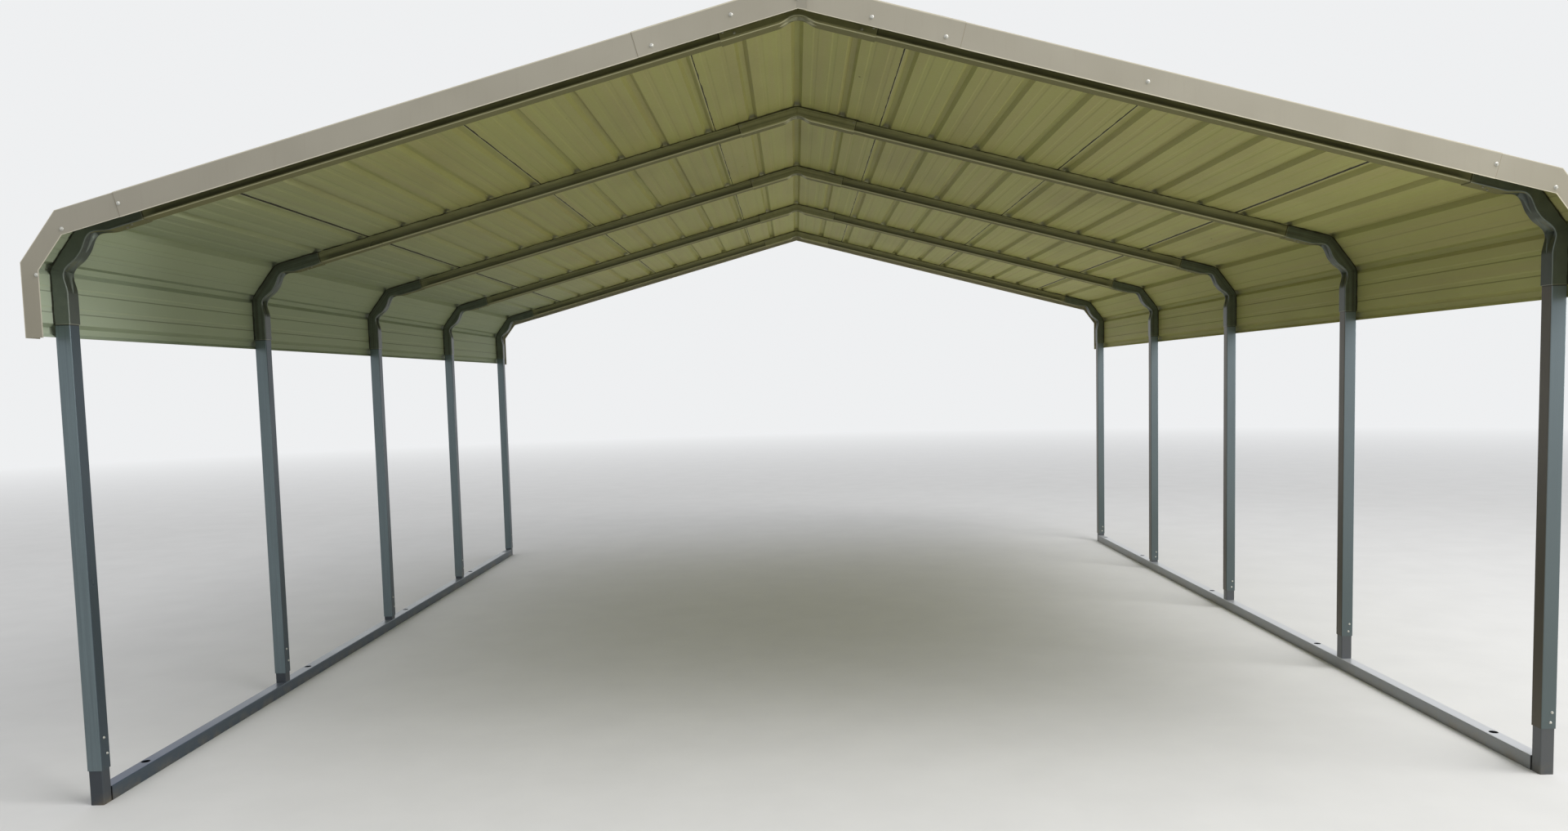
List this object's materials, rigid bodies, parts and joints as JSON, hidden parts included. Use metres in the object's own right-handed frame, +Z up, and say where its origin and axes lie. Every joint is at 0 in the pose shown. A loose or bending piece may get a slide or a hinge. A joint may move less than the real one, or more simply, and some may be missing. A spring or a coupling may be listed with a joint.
{
  "type": "carport",
  "caption": "Open-sided steel carport with a ribbed sheet roof on rounded eaves, crimped square-tube bow frames, telescoping legs and two long base rails with anchor holes.",
  "frame": {"origin": "centre of the whole carport on the floor, under the ridge", "axes": "+X right across the width seen from the front, +Y from the front towards the rear along the ridge, +Z up"},
  "size_m": [5.597, 6.4208, 2.9351],
  "materials": {
    "galvanised_base": "dull galvanised",
    "galvanised_legs": "dull galvanised",
    "galvanised_bows": "dull galvanised",
    "roof_paint": "semi-gloss beige coil coating",
    "trim_paint": "semi-gloss beige coil coating"
  },
  "bodies": {
    "root": {"base_rail_left": "galvanised_base", "base_rail_right": "galvanised_base", "leg_left_1": "galvanised_legs", "leg_left_2": "galvanised_legs", "leg_left_3": "galvanised_legs", "leg_left_4": "galvanised_legs", "leg_left_5": "galvanised_legs", "leg_right_1": "galvanised_legs", "leg_right_2": "galvanised_legs", "leg_right_3": "galvanised_legs", "leg_right_4": "galvanised_legs", "leg_right_5": "galvanised_legs", "elbow_left_1": "galvanised_bows", "elbow_left_2": "galvanised_bows", "elbow_left_3": "galvanised_bows", "elbow_left_4": "galvanised_bows", "elbow_left_5": "galvanised_bows", "elbow_right_1": "galvanised_bows", "elbow_right_2": "galvanised_bows", "elbow_right_3": "galvanised_bows", "elbow_right_4": "galvanised_bows", "elbow_right_5": "galvanised_bows", "rafters_1": "galvanised_bows", "rafters_2": "galvanised_bows", "rafters_3": "galvanised_bows", "rafters_4": "galvanised_bows", "rafters_5": "galvanised_bows", "ridge_sleeve_1": "galvanised_bows", "ridge_sleeve_2": "galvanised_bows", "ridge_sleeve_3": "galvanised_bows", "ridge_sleeve_4": "galvanised_bows", "ridge_sleeve_5": "galvanised_bows", "roof_sheet_ridge": "roof_paint", "roof_sheet_upper_left": "roof_paint", "roof_sheet_upper_right": "roof_paint", "roof_sheet_middle_left": "roof_paint", "roof_sheet_middle_right": "roof_paint", "roof_sheet_eave_left": "roof_paint", "roof_sheet_eave_right": "roof_paint", "rake_trim_front_left": "trim_paint", "rake_trim_front_right": "trim_paint", "rake_trim_rear_left": "trim_paint", "rake_trim_rear_right": "trim_paint", "corner_trims_front": "trim_paint", "corner_trims_rear": "trim_paint"}
  },
  "joints": []
}
